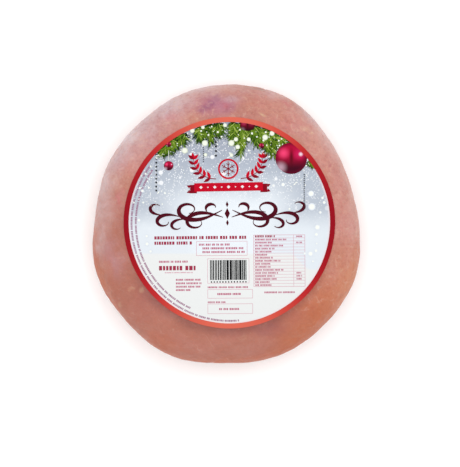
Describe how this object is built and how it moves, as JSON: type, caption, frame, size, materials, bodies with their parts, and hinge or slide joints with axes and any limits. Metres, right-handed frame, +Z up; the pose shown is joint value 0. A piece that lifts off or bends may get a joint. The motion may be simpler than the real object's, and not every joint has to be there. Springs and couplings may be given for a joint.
{
  "type": "smoked ham",
  "caption": "Whole boneless smoked ham pressed into a thick uneven round, with a round printed label stuck over its crown.",
  "frame": {"origin": "on the underside, in the middle of the ham's length and width", "axes": "+Z up from the underside to the label, +Y towards the label's upper edge, along the ham's slightly longer way"},
  "size_m": [0.1548, 0.1612, 0.0599],
  "materials": {
    "cured_meat": "moist smoked meat under a thin clear glossy skin",
    "printed_paper": "coated printed paper, satin"
  },
  "bodies": {
    "root": {"ham": "cured_meat", "label": "printed_paper"}
  },
  "joints": []
}
